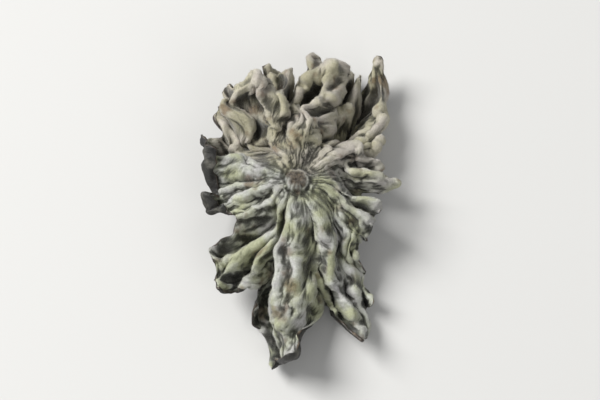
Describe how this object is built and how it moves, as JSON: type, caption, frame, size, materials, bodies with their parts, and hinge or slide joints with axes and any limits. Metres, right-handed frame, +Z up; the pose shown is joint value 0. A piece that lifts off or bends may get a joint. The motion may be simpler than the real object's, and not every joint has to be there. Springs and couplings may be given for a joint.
{
  "type": "dried wood ear mushroom",
  "caption": "Whole dried wood ear: a thin, pleated and crumpled sheet that gathers at its scar, pale and downy on the back and dark inside, lying on its curled margin.",
  "frame": {"origin": "middle of the box that holds the ear, on the surface it rests on", "axes": "+Z up from the surface it rests on, +Y from the long fan towards the short crumpled lobes, +X to the right when the fan points at the viewer"},
  "size_m": [0.0416, 0.0688, 0.0191],
  "materials": {
    "downy_skin": "dry leathery tissue, matt, with very short pale down on the back and a dark, slightly glossy inner side"
  },
  "bodies": {
    "root": {"dried_wood_ear": "downy_skin"}
  },
  "joints": []
}
